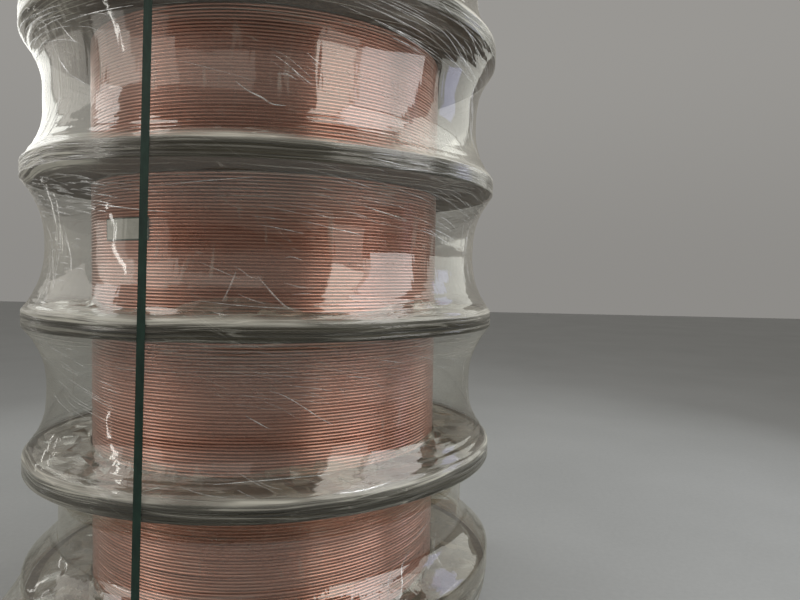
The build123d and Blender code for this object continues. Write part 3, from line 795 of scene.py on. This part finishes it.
# ------------------------------------------------------------------ pleats in the film
# Each pleat: width in mm, how strong, and its course as (degrees round from the
# -Y side towards +X, height in mm).
PLEATS = (
    (1.4, 1.0, ((38.1, 1383), (44.4, 1375), (51.9, 1364), (60.1, 1354))),
    (1.0, 0.6, ((36.5, 1399), (39.9, 1396), (43.8, 1391), (46.8, 1387))),
    (1.2, 0.7, ((35.1, 1409), (39.6, 1403), (44.7, 1399), (48.7, 1398), (55.6, 1390), (62.6, 1377), (68.8, 1360))),
    (1.0, 0.7, ((38.1, 1414), (42.9, 1408), (48.5, 1401))),
    (1.3, 0.9, ((39.5, 1417), (45.3, 1412), (51.1, 1407), (56.4, 1401), (63.1, 1386), (72.4, 1359))),
    (1.0, 0.6, ((41.6, 1421), (46.1, 1418), (50.4, 1416))),
    (1.0, 0.7, ((56.3, 1379), (60.8, 1370), (64.6, 1364))),
    (1.1, 0.9, ((55.4, 1409), (60.2, 1402), (67.0, 1389), (71.6, 1372))),
    (1.1, 0.9, ((63.9, 1388), (68.4, 1376), (72.6, 1357))),
    (1.1, 0.8, ((64.0, 1408), (69.4, 1398), (73.9, 1378))),
    (1.1, 0.8, ((69.2, 1413), (73.5, 1403), (75.8, 1384))),
    (1.4, 1.0, ((58.3, 1429), (61.7, 1424), (66.8, 1416), (72.4, 1404))),
    (1.2, 0.9, ((63.2, 1441), (68.5, 1431), (75.6, 1422))),
    (1.6, 1.0, ((59.8, 1451), (62.7, 1446))),
    (1.2, 0.8, ((53.1, 1443), (56.1, 1432))),
    (1.0, 0.4, ((30.4, 1394), (34.6, 1388), (39.3, 1382))),
    (1.4, 1.0, ((-27.0, 1403), (-31.3, 1406), (-37.5, 1409), (-45.9, 1414))),
    (1.2, 0.9, ((-28.4, 1397), (-33.2, 1400), (-39.8, 1403), (-47.6, 1406))),
    (1.4, 1.0, ((-27.5, 1384), (-31.7, 1387), (-37.3, 1388), (-45.4, 1391))),
    (1.2, 0.9, ((-27.2, 1369), (-31.8, 1374), (-37.9, 1377))),
    (1.3, 0.9, ((-25.6, 1336), (-29.3, 1348), (-34.3, 1357), (-41.1, 1366))),
    (1.0, 0.7, ((-14.0, 1365), (-17.4, 1375), (-21.2, 1379), (-26.2, 1382))),
    (1.0, 0.6, ((-17.8, 1343), (-20.6, 1355), (-24.0, 1363), (-27.2, 1369))),
    (1.8, 1.0, ((-31.6, 1398), (-30.4, 1374), (-28.3, 1351), (-26.6, 1339))),
    (1.2, 0.8, ((-38.7, 1415), (-37.7, 1382), (-36.5, 1343), (-33.5, 1310))),
    (2.6, 1.0, ((-35.2, 1325), (-32.6, 1302), (-30.4, 1285))),
    (1.2, 0.8, ((-30.4, 1285), (-27.1, 1270), (-24.1, 1256))),
    (1.6, 0.9, ((-37.1, 1286), (-34.2, 1267))),
    (1.8, 0.9, ((-33.7, 1210), (-33.8, 1180), (-33.4, 1151))),
    (1.6, 0.8, ((-37.3, 1243), (-39.6, 1196), (-38.7, 1154))),
    (1.4, 0.8, ((-38.1, 1206), (-38.7, 1181), (-37.4, 1154))),
    (1.0, 0.8, ((17.7, 1297), (20.2, 1283), (23.2, 1261), (25.8, 1245))),
    (0.9, 0.5, ((17.3, 1286), (20.2, 1268), (22.6, 1261), (24.8, 1244))),
    (0.9, 0.5, ((18.8, 1303), (22.2, 1283), (25.8, 1257))),
    (1.0, 0.8, ((24.5, 1305), (26.1, 1294), (27.8, 1285))),
    (0.9, 0.6, ((25.3, 1292), (27.2, 1277), (28.4, 1267))),
    (0.9, 0.6, ((24.1, 1281), (27.2, 1268), (28.8, 1253))),
    (2.4, 0.8, ((10.8, 1242), (13.1, 1226), (15.8, 1214), (17.7, 1203), (20.4, 1201))),
    (3.4, 0.45, ((18.7, 1261), (20.4, 1261), (22.6, 1253))),
    (2.4, 0.55, ((15.3, 885), (17.6, 860), (20.0, 836), (22.4, 822))),
    (1.8, 0.5, ((10.6, 905), (12.2, 896), (13.7, 885), (15.3, 883))),
    (1.4, 0.5, ((11.7, 853), (14.3, 843), (16.9, 836))),
    (2.6, 0.3, ((11.0, 894), (10.0, 868), (8.8, 839))),
    (1.2, 0.7, ((23.6, 992), (27.1, 986), (31.3, 978))),
    (1.6, 0.6, ((25.9, 1007), (29.5, 1000), (32.7, 1003))),
    (1.8, 0.5, ((20.3, 875), (23.4, 867), (26.1, 866))),
    (1.8, 0.4, ((20.3, 920), (21.7, 924), (23.9, 918))),
    (1.0, 0.5, ((25.0, 1057), (27.9, 1052), (31.1, 1047))),
    (1.0, 0.4, ((25.5, 1045), (29.1, 1038))),
    (1.4, 0.5, ((21.8, 853), (23.9, 855), (25.7, 855))),
    (1.3, 0.9, ((36.2, 1026), (40.6, 1017), (46.0, 1009))),
    (1.0, 0.6, ((35.9, 1041), (39.0, 1035), (42.3, 1030))),
    (1.1, 0.9, ((58.8, 1020), (63.8, 1010), (68.1, 998))),
    (1.0, 0.8, ((57.3, 1010), (61.8, 1000), (66.0, 992))),
    (1.3, 0.9, ((56.6, 993), (62.2, 983), (67.7, 972))),
    (1.2, 0.9, ((55.2, 990), (60.1, 973), (66.7, 960))),
    (1.0, 0.6, ((52.4, 992), (56.8, 984), (60.1, 975))),
    (1.0, 0.6, ((61.1, 1051), (65.7, 1043), (70.2, 1033))),
    (1.0, 0.5, ((54.3, 1065), (59.5, 1054), (64.5, 1044))),
    (1.0, 0.6, ((61.0, 1041), (66.5, 1026), (69.8, 1015))),
    (1.0, 0.5, ((37.2, 1000), (40.9, 994), (44.1, 990))),
    (1.0, 0.5, ((40.9, 998), (44.9, 990), (47.8, 986))),
    (1.0, 0.5, ((47.2, 1018), (52.0, 1009), (56.4, 999))),
    (1.5, 0.8, ((71.5, 1034), (72.3, 996), (71.9, 953))),
    (1.5, 0.8, ((79.5, 1039), (77.7, 999), (76.2, 960), (75.2, 921))),
    (1.2, 0.7, ((76.4, 1022), (75.7, 979), (73.5, 926))),
    (1.4, 0.7, ((72.7, 935), (73.3, 895), (73.5, 860))),
    (1.6, 1.0, ((-52.9, 1076), (-45.4, 1063))),
    (1.8, 1.0, ((-54.3, 1067), (-44.2, 1052))),
    (1.2, 0.9, ((-52.2, 1056), (-40.1, 1040), (-33.0, 1034))),
    (2.2, 1.0, ((-51.1, 1049), (-42.3, 1038))),
    (2.0, 1.0, ((-50.9, 1040), (-40.6, 1027))),
    (2.2, 1.0, ((-51.2, 1023), (-42.1, 1015))),
    (1.6, 0.9, ((-31.8, 1075), (-29.6, 1066))),
    (1.8, 0.9, ((-28.8, 1065), (-26.5, 1058))),
    (1.4, 0.9, ((-32.0, 1056), (-26.8, 1048))),
    (1.4, 0.9, ((-31.4, 1041), (-27.0, 1035), (-23.0, 1031))),
    (1.2, 0.9, ((-30.6, 1035), (-24.0, 1026), (-21.0, 1021))),
    (1.6, 0.9, ((-30.9, 1019), (-26.7, 1012))),
    (1.2, 0.8, ((-39.9, 1026), (-33.2, 1020))),
    (1.2, 0.7, ((-44.9, 1076), (-36.5, 1061), (-29.4, 1053))),
    (1.2, 0.7, ((-23.9, 1048), (-19.3, 1039), (-15.9, 1034))),
    (2.6, 0.8, ((-45.7, 992), (-41.5, 964), (-39.9, 934), (-37.9, 896), (-34.0, 849))),
    (2.2, 0.8, ((-36.0, 987), (-34.8, 962), (-35.3, 929), (-35.8, 892), (-34.3, 855))),
    (1.6, 0.7, ((-33.5, 976), (-32.7, 948), (-32.3, 909))),
    (2.2, 0.9, ((-38.0, 867), (-36.4, 842), (-34.5, 819), (-33.9, 803))),
    (1.6, 0.8, ((-50.5, 1036), (-48.7, 1015), (-47.3, 990))),
    (1.3, 0.9, ((-26.8, 741), (-23.7, 737), (-21.3, 729))),
    (1.1, 0.8, ((-32.7, 734), (-29.4, 724), (-26.3, 717), (-23.7, 715))),
    (1.2, 0.8, ((-33.2, 727), (-30.8, 706), (-26.5, 691), (-21.4, 684))),
    (1.2, 0.8, ((-26.9, 718), (-23.3, 705), (-20.0, 689))),
    (1.2, 0.9, ((-33.0, 712), (-31.2, 695), (-27.6, 686), (-24.2, 679))),
    (1.2, 0.9, ((-34.0, 684), (-29.1, 670), (-24.1, 657), (-19.4, 645))),
    (1.0, 0.8, ((-32.5, 675), (-26.5, 662), (-22.2, 650))),
    (1.1, 0.8, ((-33.7, 658), (-30.6, 643), (-25.5, 629), (-21.1, 620))),
    (1.2, 0.9, ((-33.5, 644), (-29.0, 629), (-24.0, 620), (-19.2, 610))),
    (1.2, 0.8, ((-33.6, 638), (-29.9, 619), (-23.0, 607))),
    (1.0, 0.7, ((-35.9, 624), (-31.7, 603))),
    (1.0, 0.7, ((-25.1, 629), (-21.4, 621), (-18.0, 615))),
    (1.1, 0.8, ((17.7, 671), (20.7, 660), (24.8, 635), (27.9, 614), (30.9, 598))),
    (1.0, 0.7, ((16.4, 652), (19.7, 637), (23.8, 613))),
    (1.4, 0.8, ((12.9, 624), (15.4, 610), (17.6, 598))),
    (1.0, 0.5, ((23.7, 673), (26.8, 662), (29.1, 649))),
    (1.4, 0.7, ((11.8, 521), (15.1, 504), (19.0, 487))),
    (1.2, 0.6, ((11.9, 494), (14.3, 484), (16.5, 475))),
    (1.0, 0.5, ((39.3, 682), (41.8, 664))),
    (1.0, 0.6, ((14.1, 512), (17.9, 497), (20.3, 491))),
    (1.0, 0.4, ((31.1, 674), (33.4, 662))),
    (1.5, 0.8, ((61.2, 333), (57.3, 319), (53.0, 307))),
    (1.6, 0.9, ((53.8, 293), (51.1, 271), (48.8, 244), (45.6, 223))),
    (1.5, 0.8, ((65.6, 307), (63.8, 271), (62.3, 235))),
    (1.4, 0.6, ((48.0, 271), (45.6, 252), (43.2, 229))),
    (1.6, 0.7, ((43.1, 310), (40.8, 302))),
    (1.2, 0.6, ((65.0, 206), (59.0, 204), (52.9, 201))),
    (1.2, 0.6, ((66.8, 200), (62.5, 184))),
)


def film_radius(phi, z):
    """Radius of the film at an azimuth and a height."""
    n = int(np.clip((z - Z_LOAD) // PITCH + 1, 1, TIERS))
    zs, rr = TIER_SHAPE[n]
    if z <= zs[0] or z >= zs[-1]:
        return FILM_R + 0.0007
    cols = rr.shape[1]
    c = (phi % (2 * math.pi)) / (2 * math.pi) * cols
    c0 = int(c) % cols
    fc = c - int(c)
    i = int(np.searchsorted(zs, z)) - 1
    fz = (z - zs[i]) / (zs[i + 1] - zs[i])
    lo = rr[i, c0] * (1 - fc) + rr[i, (c0 + 1) % cols] * fc
    hi = rr[i + 1, c0] * (1 - fc) + rr[i + 1, (c0 + 1) % cols] * fc
    return lo * (1 - fz) + hi * fz


def smooth_course(pts, steps):
    """Catmull-Rom line through the points, as (azimuth, height)."""
    pts = np.array(pts, dtype=float)
    ext = np.vstack([2 * pts[0] - pts[1], pts, 2 * pts[-1] - pts[-2]])
    out = []
    for i in range(1, len(ext) - 2):
        p0, p1, p2, p3 = ext[i - 1], ext[i], ext[i + 1], ext[i + 2]
        last = i == len(ext) - 3
        for t in np.linspace(0, 1, steps, endpoint=last):
            out.append(0.5 * (2 * p1 + (p2 - p0) * t + (2 * p0 - 5 * p1 + 4 * p2 - p3) * t ** 2 + (3 * p1 - p0 - 3 * p2 + p3) * t ** 3))
    return np.array(out)


def random_pleats(seed):
    """Pleats for the sides that the view doesn't show, of the same kinds."""
    rng = np.random.default_rng(seed)
    out = []
    for n in range(1, TIERS + 1):
        zb = 1000 * (Z_LOAD + (n - 1) * PITCH + BOARD_T)
        zt = zb + 1000 * COIL_H
        count = 96
        for _ in range(count):
            a = float(rng.uniform(0, 360))
            shown = -55 < ((a + 180) % 360 - 180) < 80
            if n < 5 and shown and rng.uniform() < 0.88:
                continue
            kind = rng.uniform()
            length = float(rng.uniform(5, 26))
            tilt = float(rng.normal(-0.9, 0.9))
            if kind < 0.62:
                z = zt - float(rng.uniform(5, 95))
            elif kind < 0.80:
                z = zb + float(rng.uniform(5, 40))
            else:
                z = 0.5 * (zb + zt) + float(rng.uniform(-70, 80))
                tilt = float(rng.normal(-3.0, 1.6))
                length *= 0.6
            bend = float(rng.normal(0, 2.0))
            pts = []
            for t in (0.0, 0.33, 0.66, 1.0):
                zz = z + tilt * length * (t - 0.5) + bend * math.sin(math.pi * t)
                pts.append((a + length * t, float(np.clip(zz, zb + 3, zt - 3))))
            if n == 1 and min(q[1] for q in pts) < 205:
                continue
            out.append((float(rng.uniform(0.9, 1.8)), float(rng.uniform(0.3, 1.0)), tuple(pts)))
        # a few that run down the waist
        for _ in range(16):
            a = float(rng.uniform(80, 305))
            z0, z1 = zb + float(rng.uniform(20, 90)), zt - float(rng.uniform(60, 140))
            if n == 1:
                z0 = max(z0, 215)
            lean = float(rng.normal(0, 4))
            pts = tuple((a + lean * t + 1.2 * math.sin(3 * t + a), z1 + (z0 - z1) * t) for t in (0, 0.3, 0.65, 1.0))
            out.append((float(rng.uniform(1.2, 2.4)), float(rng.uniform(0.4, 0.9)), pts))
    return out


def pleat_mesh(name, pleats):
    verts, faces = [], []
    for width, _, pts in pleats:
        c = smooth_course(pts, 6)
        az, z = np.radians(c[:, 0]), c[:, 1] / 1000.0
        R = 0.55
        da, dz = np.gradient(az) * R, np.gradient(z)
        ln = np.maximum(np.hypot(da, dz), 1e-9)
        pa, pz = -dz / ln / R, da / ln
        u = np.linspace(0, 1, len(az))
        w = 0.00062 * width * (0.12 + 0.88 * np.sin(math.pi * np.clip(u * 0.96 + 0.02, 0, 1)) ** 0.7)
        base = len(verts)
        for i in range(len(az)):
            for side, lift in ((-1, 0.00025), (0, 0.00025 + 0.45 * w[i]), (1, 0.00025)):
                a, zz = az[i] + side * w[i] * pa[i], z[i] + side * w[i] * pz[i]
                r = film_radius(a, zz) + lift
                verts.append((r * math.sin(a), -r * math.cos(a), zz))
        for i in range(len(az) - 1):
            for k in (0, 1):
                q = base + 3 * i + k
                faces.append((q, q + 1, q + 4, q + 3))
    return new_mesh(name, verts, faces)


def rim_rows(seed):
    """Close rows of short pleats that run with the rim, high on the flank."""
    rng = np.random.default_rng(seed)
    out = []
    # azimuth range, height range, rows, length of one pleat in degrees, share left out, width, fall in mm per degree
    for a0, a1, z0, z1, rows, length, bare, wide, fall in (
        (-66, -38, 1366, 1432, 13, 12.0, 0.20, 1.5, -0.6),
        (-58, -19, 1006, 1078, 14, 4.6, 0.28, 2.2, -1.4),
        (-46, -26, 872, 968, 9, 3.4, 0.60, 1.8, -0.4),
        (-62, -30, 690, 752, 9, 4.5, 0.50, 1.4, -1.8),
        (-46, -18, 600, 700, 12, 9.0, 0.55, 1.1, -2.2),
        (30, 84, 1352, 1434, 14, 16.0, 0.30, 1.0, -0.9),
        (14, 84, 975, 1094, 19, 9.0, 0.45, 0.9, -1.5),
        (8, 84, 640, 760, 15, 8.0, 0.55, 0.85, -1.7),
        (110, 290, 1376, 1434, 10, 13.0, 0.40, 1.0, -0.9),
        (110, 290, 1010, 1096, 14, 11.0, 0.40, 1.0, -1.3),
        (110, 290, 680, 764, 12, 10.0, 0.45, 1.0, -1.5),
    ):
        for k in range(rows):
            z = z0 + (z1 - z0) * (k + float(rng.uniform(-0.25, 0.25))) / (rows - 1)
            top = 1000 * (Z_LOAD + PITCH * math.ceil((z / 1000 - Z_LOAD) / PITCH)) - 22
            z = min(z, top)
            a = a0 + float(rng.uniform(0, length))
            tilt = float(rng.normal(fall, 0.22))
            while a < a1:
                run = length * float(rng.uniform(0.5, 1.4))
                if rng.uniform() > bare:
                    pts = tuple((a + run * t, min(z + tilt * run * (t - 0.5) + 0.9 * math.sin(math.pi * t), top)) for t in (0.0, 0.35, 0.7, 1.0))
                    out.append((wide * float(rng.uniform(0.7, 1.25)), min(1.0, wide * float(rng.uniform(0.5, 1.0))), pts))
                a += run + length * float(rng.uniform(0.15, 0.6))
    # short streaks pressed flat on the rims
    for a0, a1, z0, z1, count, length, wide in (
        (-74, -22, 1099, 1133, 90, 5.0, 1.5),
        (-74, -36, 767, 800, 26, 4.5, 1.2),
        (-74, -30, 435, 468, 20, 5.0, 1.1),
        (34, 88, 1099, 1133, 34, 8.0, 0.9),
        (96, 172, 1099, 1133, 40, 7.0, 1.0),
        (192, 284, 1099, 1133, 48, 7.0, 1.0),
        (96, 172, 767, 800, 26, 7.0, 1.0),
        (192, 284, 767, 800, 30, 7.0, 1.0),
    ):
        for _ in range(count):
            a = float(rng.uniform(a0, a1))
            z = float(rng.uniform(z0, z1))
            run = length * float(rng.uniform(0.4, 1.5))
            tilt = float(rng.normal(-0.2, 0.35))
            pts = tuple((a + run * t, z + tilt * run * (t - 0.5)) for t in (0.0, 0.35, 0.7, 1.0))
            out.append((wide * float(rng.uniform(0.6, 1.3)), float(rng.uniform(0.5, 1.0)), pts))
    # pulls that run down the waist close to both sides of the view
    for a0, a1, z0, z1, count, wide in (
        (-46, -30, 800, 1000, 9, 2.0),
        (-44, -30, 1150, 1320, 5, 1.8),
        (70, 82, 850, 1040, 8, 1.5),
        (70, 82, 1170, 1370, 6, 1.5),
        (72, 84, 520, 700, 5, 1.2),
    ):
        for _ in range(count):
            a = float(rng.uniform(a0, a1))
            zt = float(rng.uniform(z0 + 0.45 * (z1 - z0), z1))
            zb = max(z0, zt - float(rng.uniform(0.25, 0.6)) * (z1 - z0))
            lean = float(rng.normal(1.5, 1.5))
            pts = tuple((a + lean * t + 0.9 * math.sin(3 * t + a), zt + (zb - zt) * t) for t in (0.0, 0.3, 0.65, 1.0))
            out.append((wide * float(rng.uniform(0.6, 1.2)), float(rng.uniform(0.6, 1.0)), pts))
    return out


allp = list(PLEATS) + random_pleats(2024) + rim_rows(77)
piece(pleat_mesh("film_pleats", [q for q in allp if q[1] >= 0.75]), FOLD, "stretch_film", "stretch_film")
piece(pleat_mesh("film_pleats_faint", [q for q in allp if q[1] < 0.75]), FOLD_FAINT, "stretch_film", "stretch_film")


def foot_ring(n):
    """Loose film on the board round a coil's foot, in flat folds, leaning a little up its side."""
    rng = np.random.default_rng(3100 + n)
    cols = 92
    steps = np.array([0.0, 0.07, 0.24, 0.42, 0.60, 0.76, 0.90, 1.0])
    phi = np.linspace(0, 2 * math.pi, cols, endpoint=False)[None, :]
    t = steps[:, None] + 0 * phi
    mid = (t > 0.1) & (t < 0.99)
    t = np.clip(t + np.where(mid, 0.055 * rng.normal(size=t.shape), 0.0), 0, 1)
    z0 = Z_LOAD + (n - 1) * PITCH + BOARD_T
    rise = 0.016 + 0.020 * np.clip(ring_noise(phi, 3200 + n, 2, 10), -0.6, 1.6)
    flat = np.clip(t / 0.80, 0, 1)
    up = np.clip((t - 0.80) / 0.20, 0, 1)
    edge = 0.564 + 0.005 * np.clip(ring_noise(phi, 3300 + n, 4, 18), -1, 1)
    r = edge + (0.4465 - edge) * flat - 0.0030 * up
    z = 0.0015 + 0.0035 * np.sin(math.pi * flat) + rise * up
    amp = np.sin(math.pi * np.clip(t * 0.80 + 0.08, 0, 1))
    z = z + amp * 0.0052 * np.abs(rng.normal(size=r.shape))
    r = np.clip(r, 0.4412 + 0.0012 * rng.uniform(size=r.shape), 0.571)
    z = np.clip(z, 0.0012, 0.066)
    a = phi + np.where(mid, 0.020, 0.004) * rng.normal(size=r.shape)
    pts = around(a, r, z0 + z)
    rows = pts.shape[0]
    verts = pts.reshape(-1, 3)
    faces = []
    for i in range(rows - 1):
        for c in range(cols):
            k = (c + 1) % cols
            q = (i * cols + c, i * cols + k, (i + 1) * cols + k, (i + 1) * cols + c)
            if rng.uniform() < 0.5:
                faces += [(q[0], q[1], q[2]), (q[0], q[2], q[3])]
            else:
                faces += [(q[0], q[1], q[3]), (q[1], q[2], q[3])]
    return new_mesh(f"film_foot_{n}", verts, faces, smooth=False)


for n in range(1, TIERS + 1):
    piece(foot_ring(n), FOOT, "stretch_film", "stretch_film")


# ------------------------------------------------------------------ floor, light, camera
def floor():
    ob = new_mesh("floor", [(-14, -14, 0), (14, -14, 0), (14, 14, 0), (-14, 14, 0)], [(0, 1, 2, 3)])
    ob.data.materials.append(floor_material())
    return ob


floor()


def area(name, at, look, size, size_y, power, color=(1, 1, 1), roll=0.0):
    li = bpy.data.lights.new(name, "AREA")
    li.shape = "RECTANGLE"
    li.size, li.size_y = size, size_y
    li.energy = power
    li.color = color
    ob = bpy.data.objects.new(name, li)
    ob.location = at
    d = Vector(look) - Vector(at)
    turned = d.to_track_quat("-Z", "Y").to_matrix() @ Matrix.Rotation(math.radians(roll), 3, "Z")
    ob.rotation_euler = turned.to_euler()
    bpy.context.scene.collection.objects.link(ob)
    return ob


def seen(azimuth_deg, dist, z):
    """A place given from the stack's axis, azimuth counted from the -Y side towards +X."""
    a = math.radians(azimuth_deg)
    return (dist * math.sin(a), -dist * math.cos(a), z)


def panel(name, az0, az1, z0, z1, radiance, color=(1, 1, 1), dist=3.4, roll=0.0):
    """A flat softbox that stands upright and faces the stack's axis."""
    mid = 0.5 * (az0 + az1)
    width = 2 * dist * math.tan(math.radians(0.5 * (az1 - az0)))
    x, y, _ = seen(mid, dist, 0)
    height = z1 - z0
    zc = 0.5 * (z0 + z1)
    return area(name, (x, y, zc), (0, 0, zc), width, height, radiance * math.pi * width * height, color, roll)


panel("window_right_a", 42.0, 59.0, 1.50, 4.2, 1.85, (1.0, 0.98, 0.94))
panel("window_right_a_high", 42.0, 59.0, 4.2, 6.4, 1.7, (1.0, 0.98, 0.94))
panel("window_frame", 59.2, 61.3, 1.30, 4.2, 1.05, (1.0, 0.97, 0.95))
panel("window_right_a_low", 42.0, 59.0, 0.80, 1.48, 0.55, (1.0, 0.98, 0.94))
panel("window_right_b", 61.5, 92.0, 1.10, 3.6, 1.90, (0.95, 0.96, 1.0))
panel("window_right_b_high", 60.0, 100.0, 3.7, 6.4, 2.3, (0.96, 0.97, 1.0))
panel("window_far_right", 103.0, 142.0, 1.05, 2.9, 1.00, (0.97, 1.0, 0.98))
panel("window_far_right_high", 101.0, 142.0, 2.95, 5.4, 1.5, (0.97, 1.0, 0.98))
panel("window_blue", 109.0, 120.0, 1.30, 2.35, 0.95, (0.42, 0.46, 0.95), 3.3)
panel("window_left", -136.0, -106.0, 1.78, 3.3, 1.45, (0.96, 0.99, 1.0), 3.3)
panel("window_left_wide", -146.0, -106.0, 1.30, 3.7, 0.36, (1.0, 1.0, 0.98))
panel("grey_left", -80.0, -67.0, 2.25, 4.60, 1.7, (0.95, 0.97, 1.0), 3.3, 34.0)
panel("side_left_back", -104.0, -72.0, 1.45, 3.0, 0.62, (1.0, 0.97, 0.95))
panel("side_left_mid", -64.0, -47.0, 0.75, 1.50, 0.80, (1.0, 0.96, 0.93))
panel("side_left_mid_high", -64.0, -45.0, 1.50, 2.60, 1.20, (1.0, 0.96, 0.93))
panel("side_left", -47.0, -27.0, 0.75, 1.70, 0.28, (1.0, 0.94, 0.89))
panel("side_left_high", -45.0, -25.0, 1.70, 3.0, 0.62, (1.0, 0.94, 0.89))
panel("front_high", -25.0, 10.0, 1.95, 3.3, 0.27, (1.0, 0.93, 0.87))
panel("tube_left_1", -99.8, -99.2, 0.35, 1.10, 3.0, dist=3.3)
panel("tube_left_2", -93.8, -93.4, 0.40, 1.20, 3.0, dist=3.3)
panel("strip_left_a", -52.7, -50.7, 0.62, 1.95, 3.8, dist=3.3, roll=-12.5)
panel("strip_left_b", -56.9, -56.1, 0.02, 0.42, 5.0, dist=3.3, roll=-12.5)
area("high_left", seen(-62, 2.5, 4.6), (0, 0, 1.1), 1.0, 0.9, 2.0 * math.pi * 0.9, (1.0, 1.0, 0.98))

world = bpy.data.worlds.new("studio")
bpy.context.scene.world = world
world.use_nodes = True
wn = world.node_tree
bg = wn.nodes["Background"]
tc = wn.nodes.new("ShaderNodeTexCoord")


def towards(direction, lo, hi, dark, light):
    """Brightness that changes smoothly towards one side of the room."""
    d = wn.nodes.new("ShaderNodeVectorMath")
    d.operation = "DOT_PRODUCT"
    wn.links.new(tc.outputs["Generated"], d.inputs[0])
    d.inputs[1].default_value = direction
    r = wn.nodes.new("ShaderNodeMapRange")
    r.interpolation_type = "SMOOTHSTEP"
    r.inputs["From Min"].default_value = lo
    r.inputs["From Max"].default_value = hi
    r.inputs["To Min"].default_value = dark
    r.inputs["To Max"].default_value = light
    wn.links.new(d.outputs["Value"], r.inputs["Value"])
    return r.outputs[0]


def combine(op, a, b):
    n = wn.nodes.new("ShaderNodeMath")
    n.operation = op
    wn.links.new(a, n.inputs[0])
    wn.links.new(b, n.inputs[1])
    return n.outputs[0]


# pale behind the stack, darker before it, with a soft glow above eye level in front
back = towards((-math.sin(CAM_AZ), math.cos(CAM_AZ), 0.10), 0.05, 0.66, 0.040, 0.27)
glow = combine("MULTIPLY", towards((0, 0, 1), -0.02, 0.34, 0.0, 0.24), towards((0, 0, 1), 0.50, 0.90, 1.0, 0.35))
glow = combine("MULTIPLY", glow, towards((math.sin(CAM_AZ), -math.cos(CAM_AZ), 0), -0.3, 0.4, 0.2, 1.0))
bg.inputs["Color"].default_value = (1.0, 0.97, 0.92, 1)
side = towards(tuple(Vector((math.sin(math.radians(-74)), -math.cos(math.radians(-74)), 0.26)).normalized()), 0.70, 1.0, 0.0, 0.20)
wn.links.new(combine("ADD", combine("ADD", back, glow), side), bg.inputs["Strength"])

cam_data = bpy.data.cameras.new("camera")
cam = bpy.data.objects.new("camera", cam_data)
bpy.context.scene.collection.objects.link(cam)
bpy.context.scene.camera = cam
cam_data.sensor_fit = "HORIZONTAL"
cam_data.sensor_width = 36.0
cam_data.lens = 633.8 / 800.0 * 36.0
cam_data.clip_start = 0.05
yaw, pitch, roll = math.radians(11.43), math.radians(2.34), math.radians(0.89)
D, CZ = 1.750, 0.8946
fwd = Vector((math.sin(yaw) * math.cos(pitch), math.cos(yaw) * math.cos(pitch), -math.sin(pitch)))
right = Vector((math.cos(yaw), -math.sin(yaw), 0))
up = right.cross(fwd)
r2 = math.cos(roll) * right + math.sin(roll) * up
u2 = -math.sin(roll) * right + math.cos(roll) * up
turn = Matrix.Rotation(CAM_AZ, 3, "Z")
X, Y, Zc = turn @ r2, turn @ u2, turn @ (-fwd)
rot = Matrix((X, Y, Zc)).transposed().to_4x4()
cam.matrix_world = Matrix.Translation(turn @ Vector((0, -D, CZ))) @ rot

scene = bpy.context.scene
scene.view_settings.view_transform = "Standard"
scene.view_settings.look = "None"
scene.view_settings.exposure = 0.0
